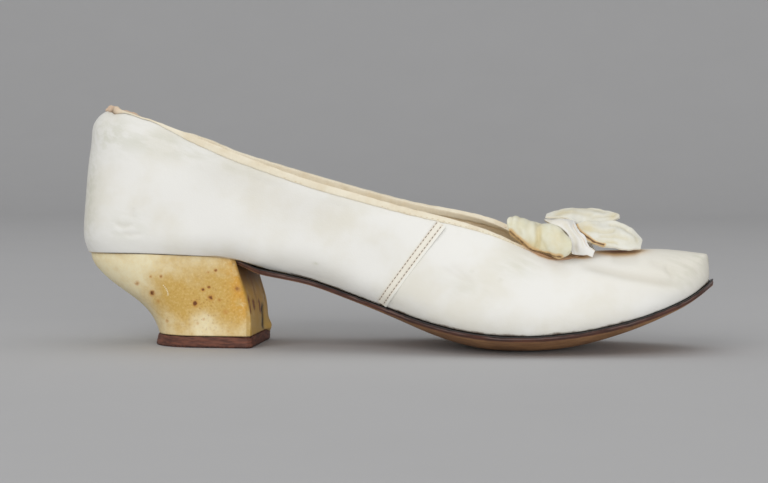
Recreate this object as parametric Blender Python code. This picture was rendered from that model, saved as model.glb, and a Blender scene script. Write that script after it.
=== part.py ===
# A low-cut slipper with a covered heel: sole, insole and hollow upper, with the
# binding, side seams, heel pieces and bow. Tables are in millimetres.
# along: distance from the back of the heel towards the toe. side: minus is the near side.

import math

import bpy
import bmesh
import numpy as np

MM = 0.001

# Driving sizes
LENGTH = 238.0          # back of the heel to the tip of the sole
TOE_TIP = 236.6         # front of the upper where it meets the sole
GAP = 0.3               # clearance between pieces that touch
WALL = 1.5              # kid leather and lining together
RIBS = 64               # divisions round the upper
ROWS = 12               # rows from the sole to the collar

HEEL_ROUND = 26.0       # depth of the rounded back, seen from above
HEEL_POWER = 2.2
TOE_ROUND = 27.0        # depth of the rounded toe, seen from above
TOE_POWER = 2.5
TOE_FRONT = 1.8         # depth of the blunt front of the toe, seen from the side
DOME_POWER = 2.2        # fullness of the section over the foot
BULGE_RISE = 9.0        # height in which the wall swells out above the sole

# One row for each section of the last. feather: height where upper meets sole,
# half: half width there, bulge: swelling above it, ridge: height of the closed section.
LAST_COLUMNS = ("along", "feather", "half", "bulge", "ridge")
LAST_ROWS = (
    (0.0, 34.8, 22.0, 2.4, 135.0),
    (25.0, 35.2, 22.0, 2.4, 135.0),
    (40.0, 34.8, 22.0, 2.8, 130.0),
    (55.0, 34.2, 21.0, 3.8, 123.0),
    (61.0, 33.8, 20.2, 4.6, 119.0),
    (64.5, 32.8, 19.6, 5.2, 117.5),
    (68.0, 31.1, 19.2, 5.6, 115.5),
    (76.0, 29.2, 18.8, 6.0, 111.0),
    (90.0, 26.2, 18.9, 6.5, 104.0),
    (105.0, 21.3, 20.3, 6.2, 95.0),
    (120.0, 16.3, 23.5, 5.0, 83.0),
    (135.0, 11.7, 27.8, 3.8, 69.0),
    (150.0, 8.6, 31.4, 2.8, 58.0),
    (165.0, 7.4, 32.6, 2.2, 48.0),
    (175.0, 7.5, 32.0, 2.0, 40.8),
    (184.0, 8.2, 30.5, 2.0, 36.8),
    (192.0, 9.2, 28.8, 2.0, 36.6),
    (202.0, 11.2, 26.2, 1.8, 36.9),
    (212.0, 13.9, 23.4, 1.6, 37.2),
    (220.0, 16.7, 21.2, 1.4, 37.4),
    (229.0, 20.6, 18.6, 1.2, 36.6),
    (238.0, 26.4, 16.0, 1.0, 35.8),
)

# Height of the collar edge of the upper on its two sides; it meets the ridge at the throat.
COLLAR_COLUMNS = ("along", "near", "far")
COLLAR_ROWS = (
    (4.0, 88.4, 88.4),
    (8.0, 89.1, 89.0),
    (13.0, 89.1, 88.4),
    (17.0, 87.9, 86.6),
    (21.0, 85.9, 84.6),
    (26.0, 83.8, 82.6),
    (38.0, 80.8, 78.8),
    (54.0, 75.4, 73.0),
    (72.0, 69.2, 67.6),
    (90.0, 63.0, 62.4),
    (108.0, 58.0, 57.4),
    (126.0, 53.1, 52.9),
    (143.0, 48.9, 50.0),
    (156.0, 44.9, 46.9),
    (165.0, 41.0, 43.0),
    (173.0, 37.2, 38.0),
    (179.0, 35.1, 35.2),
    (184.0, 34.7, 34.7),
    (188.0, 35.9, 35.9),
    (190.0, 37.0, 37.0),
)

# Sole: how far its edge stands out from the feather line, edge thickness and belly.
SOLE_COLUMNS = ("along", "grow", "edge", "belly")
SOLE_ROWS = (
    (0.0, -2.9, 2.0, 0.0),
    (56.0, -3.0, 2.0, 0.0),
    (62.0, -3.4, 2.0, 0.0),
    (65.0, -2.0, 2.0, 0.1),
    (68.0, 0.2, 2.0, 0.4),
    (90.0, 0.5, 2.0, 1.2),
    (120.0, 0.6, 2.0, 2.6),
    (140.0, 0.8, 2.0, 5.0),
    (155.0, 1.0, 2.0, 6.0),
    (170.0, 1.0, 2.0, 6.0),
    (185.0, 1.0, 2.0, 5.4),
    (205.0, 1.1, 2.0, 3.6),
    (225.0, 1.3, 1.9, 1.6),
    (238.0, 1.4, 1.8, 0.6),
)

# Heel seen from the side and the back, bottom row first. half: half width over its
# rounded back, front: at the breast.
HEEL_COLUMNS = ("height", "back", "breast", "half", "front")
HEEL_ROWS = (
    (4.4, 29.3, 67.6, 18.0, 18.0),
    (8.0, 28.0, 67.7, 17.9, 17.8),
    (12.5, 25.2, 67.6, 18.1, 17.6),
    (17.0, 20.4, 67.3, 18.6, 17.6),
    (21.5, 13.8, 66.7, 19.3, 17.7),
    (25.5, 8.5, 66.0, 20.1, 17.9),
    (29.3, 4.8, 65.2, 20.9, 18.2),
    (32.3, 3.0, 64.6, 21.3, 18.4),
    (34.8, 2.6, 64.0, 21.6, 18.6),
)
HEEL_COVER = 0.8        # leather wrapped round the heel block
TOP_PIECE = 4.1         # thickness of the plate that stands on the floor
HEEL_GLUE = 0.5         # clearance between cover and block, level
SEAT = 2.35             # depth of the block's top below the feather line

# Section of the binding folded over the collar edge. out: from the outer face of the
# upper, down: below its edge.
BINDING_COLUMNS = ("out", "down")
BINDING_ROWS = (
    (0.9, 3.2),
    (0.9, 0.2),
    (0.3, -0.9),
    (-1.8, -0.9),
    (-2.4, 0.2),
    (-2.4, 3.2),
    (-1.8, 3.2),
    (-1.8, -0.3),
    (0.3, -0.3),
    (0.3, 3.2),
)

TAPE_BACK = 22.0        # along, up to where the tape is narrow
TAPE_FULL = 64.0        # along, from where it has its full width

# Side seam: its ends on the side view and its lap.
SEAM_FOOT = (118.4, 17.9)
SEAM_HEAD = (138.9, 45.5)
SEAM_WIDTH = 3.8
SEAM_LAP = 0.5

# Bow: centre line of each folded strip, its half width, the swell of its face and the
# slope of its width.
STRIP_COLUMNS = ("along", "side", "height", "half", "swell", "slope")
STRIP_THICK = 0.8
LOOP_NEAR_ROWS = (
    (178.2, -2.0, 40.4, 4.6, 0.0, 0.42),
    (177.0, -7.5, 40.0, 5.2, 0.0, 0.42),
    (176.0, -12.5, 39.6, 7.2, 0.0, 0.42),
    (175.7, -16.6, 39.0, 10.2, 0.0, 0.42),
    (175.6, -19.4, 38.2, 11.6, 0.2, 0.41),
    (175.5, -20.7, 40.6, 12.0, 0.4, 0.38),
    (175.3, -20.2, 44.0, 12.2, 0.6, 0.30),
    (175.1, -17.4, 46.8, 11.4, 0.7, 0.24),
    (175.4, -12.0, 47.4, 7.8, 0.6, 0.20),
    (177.2, -5.0, 45.9, 4.6, 0.2, 0.20),
)
LOOP_FAR_ROWS = (
    (178.0, 2.0, 40.2, 4.6, 0.0, 0.42),
    (176.6, 7.5, 39.6, 5.4, 0.0, 0.42),
    (175.2, 12.5, 39.0, 7.2, 0.2, 0.42),
    (174.6, 16.2, 39.8, 9.0, 0.5, 0.40),
    (174.4, 17.4, 42.6, 9.4, 0.7, 0.34),
    (174.8, 14.8, 45.4, 8.6, 0.7, 0.28),
    (175.4, 9.5, 45.6, 6.2, 0.5, 0.24),
    (177.2, 4.0, 44.9, 4.2, 0.2, 0.20),
)
KNOT_ROWS = (
    (191.4, -13.6, 35.5, 4.9, 0.0, 0.10),
    (191.0, -13.6, 37.8, 4.6, 0.4, 0.15),
    (189.6, -12.4, 41.2, 4.3, 0.5, 0.20),
    (187.0, -9.4, 44.8, 4.4, 0.6, 0.16),
    (183.0, -4.0, 47.5, 5.4, 0.5, 0.06),
    (182.4, 2.4, 46.9, 5.2, 0.3, 0.06),
    (185.6, 8.4, 43.6, 4.6, 0.3, 0.16),
    (188.8, 11.4, 39.8, 4.4, 0.4, 0.20),
    (190.6, 12.0, 36.2, 4.6, 0.0, 0.14),
)
TAIL_NEAR_ROWS = (
    (183.8, -3.6, 42.8, 2.0, 0.0, 0.85),
    (190.0, -4.4, 43.2, 4.0, 0.8, 0.85),
    (198.0, -4.4, 42.6, 7.2, 1.4, 0.85),
    (205.0, -4.6, 42.0, 6.8, 1.2, 0.85),
    (209.6, -4.8, 40.5, 4.9, 0.6, 0.80),
    (211.8, -5.0, 39.1, 2.6, 0.0, 0.75),
)
TAIL_FAR_ROWS = (
    (176.4, 4.0, 49.0, 1.8, 0.0, 0.30),
    (180.0, 5.2, 49.8, 3.2, 0.3, 0.35),
    (186.4, 6.8, 49.8, 4.6, 0.7, 0.40),
    (191.0, 7.6, 48.8, 6.0, 0.9, 0.55),
    (195.5, 7.9, 48.2, 6.2, 1.1, 0.60),
    (199.6, 7.8, 48.3, 4.8, 0.6, 0.50),
    (203.4, 7.6, 48.9, 1.2, 0.0, 0.50),
)

# Fullness across each strip, from its heel edge to its toe edge or from edge to edge.
NEAR_FULL = (0.96, 1.00, 1.00, 0.98, 0.88, 1.08, 1.16, 1.00, 0.45)
FAR_FULL = (0.70, 0.84, 0.94, 0.98, 0.88, 1.06, 1.10, 0.92, 0.45)
LEAF_FULL = (0.0, 0.2, 0.5, 0.85, 1.0, 0.85, 0.5, 0.2, 0.0)


def spline(xs, ys):
    slopes = np.gradient(ys, xs)

    def at(x):
        x = np.clip(x, xs[0], xs[-1])
        i = np.clip(np.searchsorted(xs, x) - 1, 0, len(xs) - 2)
        step = xs[i + 1] - xs[i]
        u = (x - xs[i]) / step
        rise = (3.0 - 2.0 * u) * u * u
        lead = u * (1.0 - u) ** 2 * step * slopes[i]
        trail = u * u * (1.0 - u) * step * slopes[i + 1]
        return ys[i] * (1.0 - rise) + ys[i + 1] * rise + lead - trail

    return at


def table(columns, rows):
    values = np.array(rows, dtype=float).T
    return {name: spline(values[0], column) for name, column in zip(columns[1:], values[1:])}


LAST = table(LAST_COLUMNS, LAST_ROWS)
COLLAR = table(COLLAR_COLUMNS, COLLAR_ROWS)
SOLE = table(SOLE_COLUMNS, SOLE_ROWS)
HEEL = table(HEEL_COLUMNS, HEEL_ROWS)


def rounded(x, power):
    x = np.clip(x, 0.0, 1.0)
    return (1.0 - x ** power) ** (1.0 / power)


def back_lean(height):
    # How far the back of the heel stands in from the rearmost point at this height.
    above = np.clip((height - 42.0) / 41.0, 0.0, None)
    below = np.clip((40.0 - height) / 5.5, 0.0, 1.2)
    rolled = np.clip((height - 79.0) / 9.0, 0.0, None)
    return 4.3 * above ** 1.6 + 3.2 * rolled ** 2 + 1.6 * below ** 2


def plan_round(along, back, tip):
    heel = rounded(1.0 - (along - back) / HEEL_ROUND, HEEL_POWER)
    toe = rounded((along - (tip - TOE_ROUND)) / TOE_ROUND, TOE_POWER)
    return heel * toe


def half_width(along, height):
    # Half width of the last at a point of its side view; zero outside it.
    feather = LAST["feather"](along)
    front = rounded((along - (TOE_TIP - TOE_FRONT)) / TOE_FRONT, 3.0)
    top = np.maximum((LAST["ridge"](along) - feather) * front, 1e-6)
    above = np.clip(height - feather, 0.0, None)
    swell = 1.0 - np.clip(1.0 - above / BULGE_RISE, 0.0, 1.0) ** 2
    dome = np.sqrt(1.0 - np.clip(above / top, 0.0, 1.0) ** DOME_POWER)
    full = LAST["half"](along) + LAST["bulge"](along) * swell
    return full * dome * plan_round(along, back_lean(height), TOE_TIP)


def side_point(along, height, side, out):
    # A point on the last, moved out along its normal.
    step = 0.05
    across = half_width(along, height)
    slope_along = (half_width(along + step, height) - across) / step
    slope_up = (half_width(along, height + step) - across) / step
    normal = np.array((-slope_along, side, -slope_up))
    normal /= np.linalg.norm(normal)
    return np.array((along, side * across, height)) + normal * out


def by_length(points, shares):
    # Points along a polyline at the given shares of its length.
    steps = np.linalg.norm(np.diff(points, axis=0), axis=1)
    length = np.concatenate(((0.0,), np.cumsum(steps)))
    return np.stack([np.interp(shares * length[-1], length, points[:, k]) for k in range(3)], axis=1)


def side_line(start, end, height_at, side, shares):
    # One half of a line round the last, from the heel to the toe.
    turn = np.linspace(0.0, math.pi, 800)
    along = start + (end - start) * 0.5 * (1.0 - np.cos(turn))
    height = height_at(along)
    points = np.stack((along, side * half_width(along, height), height), axis=1)
    points[0, 1] = 0.0
    points[-1, 1] = 0.0
    return by_length(points, shares)


def collar_ends():
    back = 5.0
    for _ in range(40):
        back = 0.5 * (back + float(back_lean(COLLAR["near"](back))))
    low, high = 170.0, 190.0
    for _ in range(40):
        middle = 0.5 * (low + high)
        if COLLAR["near"](middle) < LAST["ridge"](middle):
            low = middle
        else:
            high = middle
    return back, low


def half_wall(side, collar_at):
    # Ribs of one side, each from the feather line up to the collar.
    t = np.linspace(0.0, 1.0, RIBS // 2 + 1)
    shares = 0.65 * t + 0.35 * 0.5 * (1.0 - np.cos(math.pi * t))
    feather = side_line(float(back_lean(34.8)), TOE_TIP, LAST["feather"], side, shares)
    back, throat = collar_ends()
    collar = side_line(back, throat, collar_at, side, shares)
    hub = 0.5 * (feather + collar)
    hub[:, 0] = np.clip(hub[:, 0], 28.0, 174.0)
    hub[:, 1] = 0.0
    floor = LAST["feather"](hub[:, 0])
    hub[:, 2] = floor + 0.3 * (collar_at(hub[:, 0]) - floor)
    chord = np.linspace(0.0, 1.0, 60)[None, :, None]
    ray = feather[:, None] * (1.0 - chord) + collar[:, None] * chord - hub[:, None]
    near = np.full(ray.shape[:2], 0.2)
    far = np.full(ray.shape[:2], 3.0)
    for _ in range(36):
        middle = 0.5 * (near + far)
        point = hub[:, None] + ray * middle[..., None]
        inside = np.abs(point[..., 1]) < half_width(point[..., 0], point[..., 2])
        near = np.where(inside, middle, near)
        far = np.where(inside, far, middle)
    ribs = hub[:, None] + ray * near[..., None]
    ribs[:, 0] = feather
    ribs[:, -1] = collar
    ribs[0, :, 1] = 0.0
    ribs[-1, :, 1] = 0.0
    rows = np.linspace(0.0, 1.0, ROWS)
    half = np.stack([by_length(rib, rows) for rib in ribs])
    half[:, 0, 2] += GAP
    return half


def wall_grid():
    # Outer face of the upper: ribs up the near side to the toe, then back along the far side.
    near = half_wall(-1.0, COLLAR["near"])
    far = half_wall(1.0, COLLAR["far"])
    return np.concatenate((near, far[-2:0:-1]))


def unit(vectors):
    return vectors / np.linalg.norm(vectors, axis=-1, keepdims=True)


def wall_normals(grid):
    round_it = np.roll(grid, -1, axis=0) - np.roll(grid, 1, axis=0)
    up_it = np.gradient(grid, axis=1)
    return unit(np.cross(round_it, up_it))


def loft(name, rings, ends, colour, roughness):
    # A solid through closed rings of points. ends: "joined" ties the last ring to the first,
    # "face" caps each end with one face, "strip" with quads between the faces of a sheet.
    rings = np.asarray(rings, dtype=float)
    count, around = rings.shape[:2]
    mesh = bpy.data.meshes.new(name)
    build = bmesh.new()
    verts = [[build.verts.new((p - (LENGTH / 2.0, 0.0, 0.0)) * MM) for p in ring] for ring in rings]
    for r in range(count if ends == "joined" else count - 1):
        low = verts[r]
        high = verts[(r + 1) % count]
        for k in range(around):
            n = (k + 1) % around
            build.faces.new((low[k], low[n], high[n], high[k]))
    if ends == "face":
        build.faces.new(verts[0][::-1])
        build.faces.new(verts[-1])
    if ends == "strip":
        for ring in (verts[0], verts[-1]):
            for k in range(around // 2 - 1):
                build.faces.new((ring[k], ring[k + 1], ring[-2 - k], ring[-1 - k]))
    bmesh.ops.recalc_face_normals(build, faces=build.faces)
    bmesh.ops.triangulate(build, faces=build.faces)
    build.to_mesh(mesh)
    build.free()
    material = bpy.data.materials.new(name)
    material.use_nodes = True
    shader = material.node_tree.nodes["Principled BSDF"]
    shader.inputs["Base Color"].default_value = (*colour, 1.0)
    shader.inputs["Roughness"].default_value = roughness
    mesh.materials.append(material)
    piece = bpy.data.objects.new(name, mesh)
    bpy.context.collection.objects.link(piece)
    return piece


def sheet_rings(top, under):
    # Rings for a sheet given as rows of points on its two faces.
    return np.concatenate((top, under[:, ::-1]), axis=1)


def stations(start, end, count):
    turn = np.linspace(0.0, 1.0, count)
    return start + (end - start) * (0.5 * turn + 0.25 * (1.0 - np.cos(math.pi * turn)))


def make_outsole():
    back = float(back_lean(34.8)) - SOLE["grow"](0.0)
    along = stations(back + 0.05, LENGTH - 0.05, 44)
    half = (LAST["half"](along) + SOLE["grow"](along)) * plan_round(along, back, LENGTH)
    across = np.sin(np.linspace(-1.0, 1.0, 11) * math.pi / 2.0)
    side = half[:, None] * across
    top = np.broadcast_to(LAST["feather"](along)[:, None], side.shape)
    belly = SOLE["belly"](along)[:, None] * (1.0 - np.abs(across) ** 2.4)
    under = np.maximum(top - SOLE["edge"](along)[:, None] - belly, 0.0)
    along = np.broadcast_to(along[:, None], side.shape)
    rings = sheet_rings(np.stack((along, side, top), axis=2), np.stack((along, side, under), axis=2))
    loft("outsole", rings, "strip", (0.16, 0.07, 0.035), 0.55)


def make_insole():
    inset = WALL + 0.6
    back = float(back_lean(34.8)) + inset
    along = stations(back + 0.05, TOE_TIP - inset - 0.05, 34)
    half = (LAST["half"](along) - inset) * plan_round(along, back, TOE_TIP - inset)
    across = np.linspace(-1.0, 1.0, 7)
    side = half[:, None] * across
    base = np.broadcast_to(LAST["feather"](along)[:, None], side.shape) + GAP
    along = np.broadcast_to(along[:, None], side.shape)
    rings = sheet_rings(np.stack((along, side, base + 1.2), axis=2), np.stack((along, side, base), axis=2))
    loft("insole", rings, "strip", (0.66, 0.53, 0.38), 0.8)


def make_upper(grid, normals):
    inner = grid - normals * WALL
    level = unit(normals[:, 0] * np.array((1.0, 1.0, 0.0)))
    inner[:, 0] = grid[:, 0] - level * WALL
    rings = np.concatenate((grid, inner[:, ::-1]), axis=1).transpose(1, 0, 2)
    loft("upper", rings, "joined", (0.78, 0.76, 0.69), 0.5)


def tape_share(along):
    # The tape is narrower round the back of the heel.
    t = np.clip((along - TAPE_BACK) / (TAPE_FULL - TAPE_BACK), 0.0, 1.0)
    return 0.4 + 0.6 * t * t * (3.0 - 2.0 * t)


def make_binding(grid, normals):
    edge = grid[:, -1]
    out = normals[:, -1]
    down = grid[:, -2] - edge
    down = unit(down - out * np.sum(down * out, axis=1, keepdims=True))
    share = tape_share(edge[:, :1])
    rings = []
    for row in BINDING_ROWS:
        drop = row[1] * share if row[1] > 1.0 else row[1]
        rings.append(edge + out * row[0] + down * drop)
    loft("topline_binding", rings, "joined", (0.72, 0.64, 0.5), 0.7)


def make_seam(name, side):
    foot = np.array(SEAM_FOOT)
    head = np.array(SEAM_HEAD)
    run = unit(head - foot)
    across = np.array((run[1], -run[0])) * SEAM_WIDTH / 2.0
    rings = []
    for t in np.linspace(0.0, 1.0, 11):
        spot = foot * (1.0 - t) + head * t
        places = [spot + across * k for k in (-1.0, -0.5, 0.0, 0.5, 1.0)]
        top = [side_point(p[0], p[1], side, GAP + SEAM_LAP) for p in places]
        under = [side_point(p[0], p[1], side, GAP) for p in places]
        rings.append(np.array(top + under[::-1]))
    loft(name, rings, "strip", (0.76, 0.73, 0.65), 0.5)


def heel_plan():
    # Outline of the heel from above as shares: depth from back to breast, and half width.
    turn = np.linspace(-math.pi / 2.0, math.pi / 2.0, 19)
    depth = 0.5 * (1.0 - np.abs(np.cos(turn)) ** 0.87)
    side = np.sign(turn) * np.abs(np.sin(turn)) ** 0.87
    back = np.stack((depth, side), axis=1)
    run = np.array(((0.66, 1.0), (0.82, 1.0), (0.965, 1.0), (1.0, 0.93)))
    breast = np.array(((1.0, 0.5), (1.0, 0.0), (1.0, -0.5)))
    other = run[::-1] * np.array((1.0, -1.0))
    return np.concatenate((back, run, breast, other))


def heel_ring(height, inset, top_at):
    # One level of the heel, kept under its top where the sole drops to the breast.
    plan = heel_plan()
    back = HEEL["back"](height) + inset
    breast = HEEL["breast"](height) - inset
    narrowing = np.clip(2.0 * plan[:, 0] - 1.0, 0.0, 1.0)
    half = HEEL["half"](height) * (1.0 - narrowing) + HEEL["front"](height) * narrowing - inset
    along = back + (breast - back) * plan[:, 0]
    below = 0.35 * (HEEL_ROWS[-1][0] - height)
    level = np.minimum(height, top_at(along) - below)
    return np.stack((along, half * plan[:, 1], level), axis=1)


def seat_height(along):
    return LAST["feather"](along) - SEAT


def cover_height(along):
    # Up to the feather line at the sides and back, under the sole at the breast.
    t = np.clip((along - 59.8) / 3.0, 0.0, 1.0)
    return LAST["feather"](along) - 2.7 * t * t * (3.0 - 2.0 * t)


def make_heel():
    levels = [row[0] for row in HEEL_ROWS]
    inset = HEEL_COVER + HEEL_GLUE
    block = [heel_ring(z, inset, cover_height) for z in levels[:-2]]
    seat = heel_ring(levels[-1], inset + 0.6, cover_height)
    seat[:, 2] = np.minimum(seat_height(seat[:, 0]), cover_height(seat[:, 0]) - GAP)
    block.append(seat)
    loft("heel_block", block, "face", (0.3, 0.18, 0.09), 0.7)
    outer = [heel_ring(z, 0.0, cover_height) for z in levels]
    outer[-1][:, 2] = cover_height(outer[-1][:, 0])
    inner = [heel_ring(z, HEEL_COVER, cover_height) for z in levels]
    inner[-1][:, 2] = cover_height(inner[-1][:, 0])
    loft("heel_cover", outer + inner[::-1], "joined", (0.74, 0.56, 0.25), 0.6)
    foot = heel_ring(levels[0], -0.6, cover_height)
    foot[:, 0] -= 0.7 * (1.0 - heel_plan()[:, 0])
    middle = foot.mean(axis=0)
    plate = []
    for height, share in ((0.0, 0.98), (0.5, 1.0), (TOP_PIECE - 0.4, 1.0), (TOP_PIECE, 0.98)):
        ring = middle + (foot - middle) * share
        ring[:, 2] = height
        plate.append(ring)
    loft("heel_top_piece", plate, "face", (0.12, 0.045, 0.025), 0.75)


def make_strip(name, rows, spread, full, opened, count):
    # A folded strip of leather. spread: direction of its width, its slope taken from the rows.
    # opened: whether the fullness also opens the fold, as in a loop.
    rows = np.array(rows)
    full = np.array(full)
    steps = np.linalg.norm(np.diff(rows[:, :3], axis=0), axis=1)
    length = np.concatenate(((0.0,), np.cumsum(steps)))
    at = np.linspace(0.0, length[-1], count)
    line = np.stack([spline(length, column)(at) for column in rows.T], axis=1)
    across = np.tile(np.array(spread), (count, 1))
    across[:, 2] *= line[:, 5]
    across = unit(across)
    normal = unit(np.cross(np.gradient(line[:, :3], axis=0), across))
    share = np.linspace(-1.0, 1.0, len(full))
    width = line[:, 3, None, None] * share[None, :, None] * across[:, None]
    puff = line[:, 4, None, None] * full[None, :, None] * normal[:, None]
    centre = np.tile(line[:, None, :3], (1, len(full), 1))
    if opened:
        root = 0.5 * (line[0, 2] + line[-1, 2])
        centre[:, :, 2] = root + (centre[:, :, 2] - root) * full
    face = centre + width + puff
    lift = normal[:, None] * STRIP_THICK / 2.0
    loft(name, sheet_rings(face + lift, face - lift), "strip", (0.74, 0.67, 0.52), 0.6)


def make_bow():
    make_strip("bow_loop_near", LOOP_NEAR_ROWS, (1.0, 0.0, -1.0), NEAR_FULL, True, 22)
    make_strip("bow_loop_far", LOOP_FAR_ROWS, (-1.0, 0.0, 1.0), FAR_FULL[::-1], True, 20)
    make_strip("bow_knot", KNOT_ROWS, (-1.0, 0.0, 1.0), LEAF_FULL, False, 17)
    make_strip("bow_tail_near", TAIL_NEAR_ROWS, (0.0, 1.0, 1.0), LEAF_FULL, False, 13)
    make_strip("bow_tail_far", TAIL_FAR_ROWS, (0.0, 1.0, 1.0), LEAF_FULL, False, 13)


def main():
    for item in list(bpy.data.objects):
        bpy.data.objects.remove(item, do_unlink=True)
    grid = wall_grid()
    normals = wall_normals(grid)
    make_outsole()
    make_insole()
    make_upper(grid, normals)
    make_binding(grid, normals)
    make_seam("side_seam_near", -1.0)
    make_seam("side_seam_far", 1.0)
    make_heel()
    make_bow()


main()
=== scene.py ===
import math

import bpy
import numpy as np
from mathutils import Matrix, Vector
from mathutils.kdtree import KDTree


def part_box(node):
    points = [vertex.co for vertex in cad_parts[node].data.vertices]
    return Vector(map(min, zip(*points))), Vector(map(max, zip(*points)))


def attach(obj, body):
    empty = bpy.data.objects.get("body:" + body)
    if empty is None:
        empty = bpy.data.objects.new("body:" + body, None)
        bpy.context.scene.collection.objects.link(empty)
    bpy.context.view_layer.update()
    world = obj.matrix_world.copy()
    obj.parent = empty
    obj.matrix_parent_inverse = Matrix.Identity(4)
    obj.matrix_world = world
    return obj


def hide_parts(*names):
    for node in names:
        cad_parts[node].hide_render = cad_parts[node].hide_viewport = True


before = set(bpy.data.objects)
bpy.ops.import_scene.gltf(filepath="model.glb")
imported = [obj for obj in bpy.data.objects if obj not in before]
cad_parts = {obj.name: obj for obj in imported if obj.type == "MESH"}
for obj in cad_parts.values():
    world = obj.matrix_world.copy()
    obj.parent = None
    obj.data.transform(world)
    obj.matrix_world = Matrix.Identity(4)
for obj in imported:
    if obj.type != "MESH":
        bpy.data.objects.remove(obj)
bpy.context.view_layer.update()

mm = 0.001
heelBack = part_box("upper")[0].x  # "along" is measured from here towards the toe


# small helpers for meshes

def spot(along, side, height):  # shoe millimetres to a point of the frame
    return Vector((heelBack + along * mm, side * mm, height * mm))


def workOn(piece):
    bpy.ops.object.select_all(action="DESELECT")
    piece.select_set(True)
    bpy.context.view_layer.objects.active = piece


def copyNode(node, name):  # the node's own mesh, merged and back to quads
    piece = bpy.data.objects.new(name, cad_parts[node].data.copy())
    piece.data.materials.clear()
    bpy.context.collection.objects.link(piece)
    workOn(piece)
    bpy.ops.object.mode_set(mode="EDIT")
    bpy.ops.mesh.select_all(action="SELECT")
    bpy.ops.mesh.customdata_custom_splitnormals_clear()
    bpy.ops.mesh.remove_doubles(threshold=0.01 * mm)
    bpy.ops.mesh.tris_convert_to_quads(face_threshold=math.pi, shape_threshold=math.pi)
    bpy.ops.object.mode_set(mode="OBJECT")
    return piece


def applyModifier(piece, kind, **settings):
    workOn(piece)
    bpy.ops.object.modifier_add(type=kind)
    modifier = piece.modifiers[-1]
    for key, value in settings.items():
        setattr(modifier, key, value)
    bpy.ops.object.modifier_apply(modifier=modifier.name)


def soften(piece, levels, sharpAngle=50, crease=0.85):
    # rounds it, but keeps its corners; a trial copy shows how far each vertex would sink in
    workOn(piece)
    bpy.ops.object.mode_set(mode="EDIT")
    bpy.ops.mesh.select_mode(type="EDGE")
    bpy.ops.mesh.select_all(action="DESELECT")
    bpy.ops.mesh.edges_select_sharp(sharpness=math.radians(sharpAngle))
    bpy.ops.transform.edge_crease(value=crease)
    bpy.ops.object.mode_set(mode="OBJECT")
    points = getPoints(piece)
    bpy.ops.object.duplicate()
    trial = bpy.context.object
    applyModifier(trial, "SUBSURF", levels=1, render_levels=1)
    sunk = getPoints(trial)[:len(points)]
    bpy.data.objects.remove(trial)
    setPoints(piece, points + (points - sunk) * 0.8)
    applyModifier(piece, "SUBSURF", levels=levels, render_levels=levels)
    bpy.ops.object.shade_smooth()


def subdivideFaces(piece, chosen):  # a finer mesh where a detail needs it
    workOn(piece)
    for face, wanted in zip(piece.data.polygons, chosen):
        face.select = bool(wanted)
    bpy.ops.object.mode_set(mode="EDIT")
    bpy.ops.mesh.select_mode(type="FACE")
    bpy.ops.mesh.subdivide(number_cuts=1, smoothness=0.0)
    bpy.ops.object.mode_set(mode="OBJECT")


def getPoints(piece, what="co"):
    values = np.empty(len(piece.data.vertices) * 3)
    piece.data.vertices.foreach_get(what, values)
    return values.reshape(-1, 3)


def shoeSizes(points):  # along, side and height in millimetres
    return (points[:, 0] - heelBack) / mm, points[:, 1] / mm, points[:, 2] / mm


def measure(piece):
    points = getPoints(piece)
    return points, getPoints(piece, "normal"), *shoeSizes(points)


def setPoints(piece, points):
    piece.data.vertices.foreach_set("co", points.ravel())
    piece.data.update()


def paint(piece, name, values):  # one number for each vertex, read by a finish
    layer = piece.data.attributes.new(name, "FLOAT", "POINT")
    layer.data.foreach_set("value", np.asarray(values, dtype=np.float32))


def smooth(value, low, high):
    t = np.clip((value - low) / (high - low), 0, 1)
    return t * t * (3 - 2 * t)


def bell(distance, width):
    return np.exp(-(distance / width) ** 2)


def patch(first, second, a, b, wide, tall):  # a soft oval on the side view
    return bell(np.hypot((first - a) / wide, (second - b) / tall), 1.0)


def nearLine(first, second, line):
    # distance to a bent line drawn on the side view, its sign, and the share along it
    best = np.full(len(first), 1e9)
    sign = np.ones(len(first))
    share = np.zeros(len(first))
    steps = [math.dist(a, b) for a, b in zip(line, line[1:])]
    done = 0
    for (a, b), step in zip(zip(line, line[1:]), steps):
        ux, uy = (b[0] - a[0]) / step, (b[1] - a[1]) / step
        run = np.clip((first - a[0]) * ux + (second - a[1]) * uy, 0, step)
        gap = np.hypot(first - a[0] - run * ux, second - a[1] - run * uy)
        closer = gap < best
        best = np.where(closer, gap, best)
        sign = np.where(closer, np.sign(ux * (second - a[1]) - uy * (first - a[0])), sign)
        share = np.where(closer, (done + run) / sum(steps), share)
        done += step
    return best, sign, share


def distanceTo(points, other):  # millimetres to the nearest vertex of another piece
    targets = getPoints(other)
    tree = KDTree(len(targets))
    for i, target in enumerate(targets):
        tree.insert(target, i)
    tree.balance()
    return np.array([tree.find(p)[2] for p in points]) / mm


def settle(piece, ground, gap, thin):
    # lays a piece down on the one under it: its clearance closed, its thickness scaled
    points = getPoints(piece)
    for i, point in enumerate(points):
        found, under, normal, face = ground.closest_point_on_mesh(Vector(point))
        away = Vector(point) - under
        points[i] = under + away.normalized() * (gap * mm + (away.length - 0.3 * mm) * thin)
    setPoints(piece, points)


def everyStep(path, step):  # places at even steps along a line of points
    points = np.array(path)
    run = np.concatenate(((0,), np.cumsum(np.linalg.norm(np.diff(points, axis=0), axis=1))))
    at = np.arange(step / 2, run[-1], step)
    return np.stack([np.interp(at, run, points[:, k]) for k in range(3)], axis=1)


def finishPiece(piece, nodes, slot, *materials):
    for material in materials:
        piece.data.materials.append(material)
    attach(piece, "root")
    if nodes:
        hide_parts(*nodes)


# shader wiring

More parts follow.
